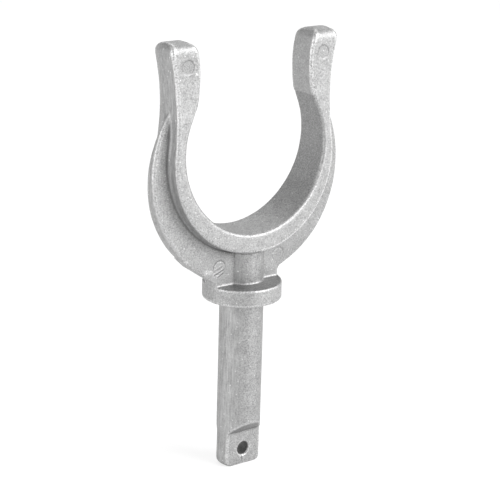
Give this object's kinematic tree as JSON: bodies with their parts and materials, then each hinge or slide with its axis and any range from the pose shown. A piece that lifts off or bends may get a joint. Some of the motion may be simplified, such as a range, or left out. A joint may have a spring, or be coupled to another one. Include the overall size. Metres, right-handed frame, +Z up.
{
  "type": "rowlock",
  "caption": "Cast open-horned rowlock: a deep saddle between two upright horns, with a stiffening rib, a thrust collar and a round pin ending in a flat, cross-drilled tang.",
  "frame": {"origin": "on the pin's axis at the collar's underside, the face that rests on the socket", "axes": "+Z up the pin's axis through the horns, X across the horns, Y along the depth of the saddle, the way the oar's shaft lies"},
  "size_m": [0.0638, 0.0228, 0.1267],
  "materials": {
    "casting": "as cast and tumbled, matte and mottled, bright on its edges"
  },
  "bodies": {
    "root": {"rowlock": "casting"}
  },
  "joints": []
}
